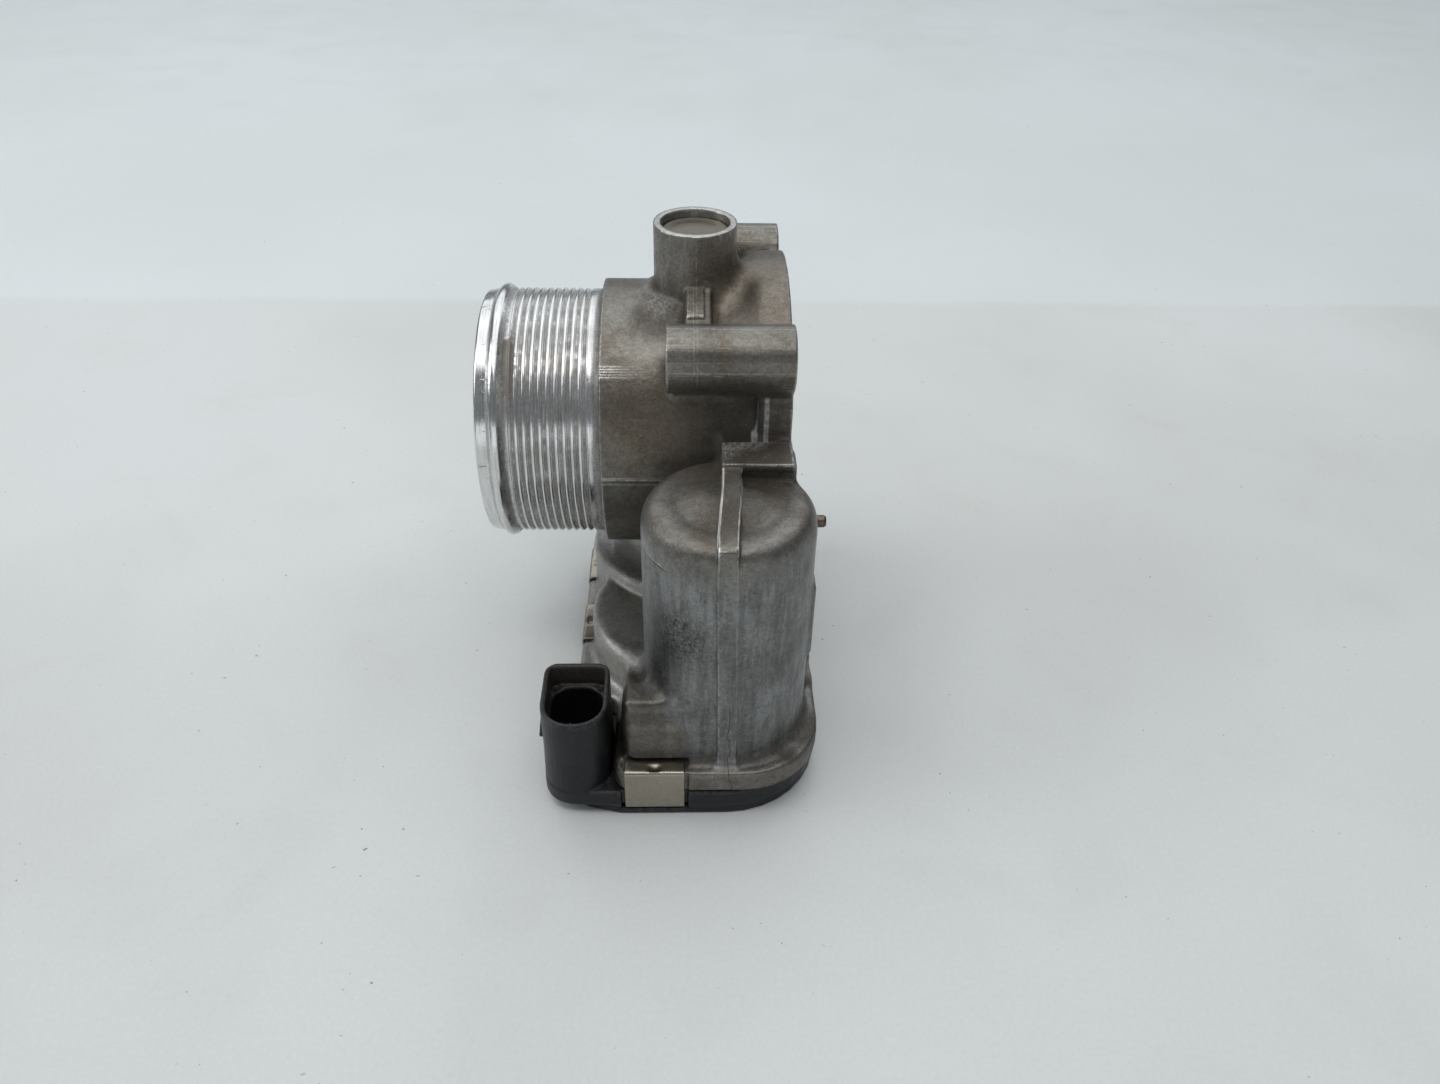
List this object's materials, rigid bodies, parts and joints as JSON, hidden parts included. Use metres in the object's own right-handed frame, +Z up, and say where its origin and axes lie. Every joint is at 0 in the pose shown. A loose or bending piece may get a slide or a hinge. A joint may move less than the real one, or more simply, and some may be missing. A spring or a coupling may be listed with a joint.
{
  "type": "electronic throttle body",
  "caption": "Cast throttle housing with a hose spigot, motor barrel, clipped-on gear cover and a turning throttle plate.",
  "frame": {"origin": "the point where the throttle shaft's axis meets the flat outer face of the gear cover, on which the part stands", "axes": "+X along the bore, with the air flow, from the hose spigot to the manifold flange; +Z up the throttle shaft from the cover; +Y away from the motor barrel"},
  "size_m": [0.088, 0.1216, 0.1247],
  "materials": {
    "cast_aluminium": "as-cast, dull and stained; hose spigot machined bright",
    "black_plastic": "moulded, slightly satin",
    "seal_rubber": "matte",
    "clip_steel": "satin nickel-coloured spring steel",
    "terminal_brass": "satin",
    "steel": "satin",
    "plate_alloy": "satin",
    "gear_nylon": "natural moulded",
    "magnet_ferrite": "matte",
    "board_laminate": "solder resist"
  },
  "bodies": {
    "housing": {"housing": "cast_aluminium", "gear_cover": "black_plastic", "motor_end_bell": "black_plastic", "cover_seal": "seal_rubber", "shaft_seal": "seal_rubber", "cover_clip_front": "clip_steel", "cover_clip_left_front": "clip_steel", "cover_clip_left_rear": "clip_steel", "cover_clip_rear": "clip_steel", "cover_clip_right_rear": "clip_steel", "cover_clip_right_front": "clip_steel", "connector_pin_1": "terminal_brass", "connector_pin_2": "terminal_brass", "connector_pin_3": "terminal_brass", "connector_pin_4": "terminal_brass", "connector_pin_5": "terminal_brass", "connector_pin_6": "terminal_brass", "motor_terminal_1": "terminal_brass", "motor_terminal_2": "terminal_brass", "shaft_end_cap": "steel", "locating_pin": "steel", "upper_bearing": "steel", "lower_bearing": "steel", "return_spring": "steel", "intermediate_gear_pin": "steel", "motor_can": "steel", "motor_screw_1": "steel", "motor_screw_2": "steel", "motor_wave_spring": "steel", "motor_magnet_left": "magnet_ferrite", "motor_magnet_right": "magnet_ferrite", "motor_brush_1": "magnet_ferrite", "motor_brush_2": "magnet_ferrite", "sensor_board": "board_laminate"},
    "throttle": {"throttle_shaft": "steel", "throttle_plate": "plate_alloy", "plate_screw_upper": "steel", "plate_screw_lower": "steel", "sector_gear": "gear_nylon", "sensor_target": "steel"},
    "intermediate": {"intermediate_gear": "gear_nylon"},
    "rotor": {"motor_armature": "steel", "motor_pinion": "terminal_brass"}
  },
  "joints": [
    {"name": "throttle", "type": "hinge", "parent": "housing", "child": "throttle", "pos_m": [0, 0, 0.071], "axis": [0, 0, 1], "range_deg": [-8, 78], "stiffness_Nm_per_rad": 0.3},
    {"name": "intermediate_gear_spin", "type": "hinge", "parent": "housing", "child": "intermediate", "pos_m": [0.00116, -0.02968, 0.0145], "axis": [0, 0, 1], "range_deg": [-292, 32]},
    {"name": "motor_spin", "type": "hinge", "parent": "housing", "child": "rotor", "pos_m": [0.0077, -0.0568, 0.045], "axis": [0, 0, 1], "range_deg": [-160, 1512]}
  ],
  "couplings": [
    {"joint": "intermediate_gear_spin", "follows": "throttle", "ratio": -3.7143},
    {"joint": "motor_spin", "follows": "throttle", "ratio": 19.314}
  ]
}
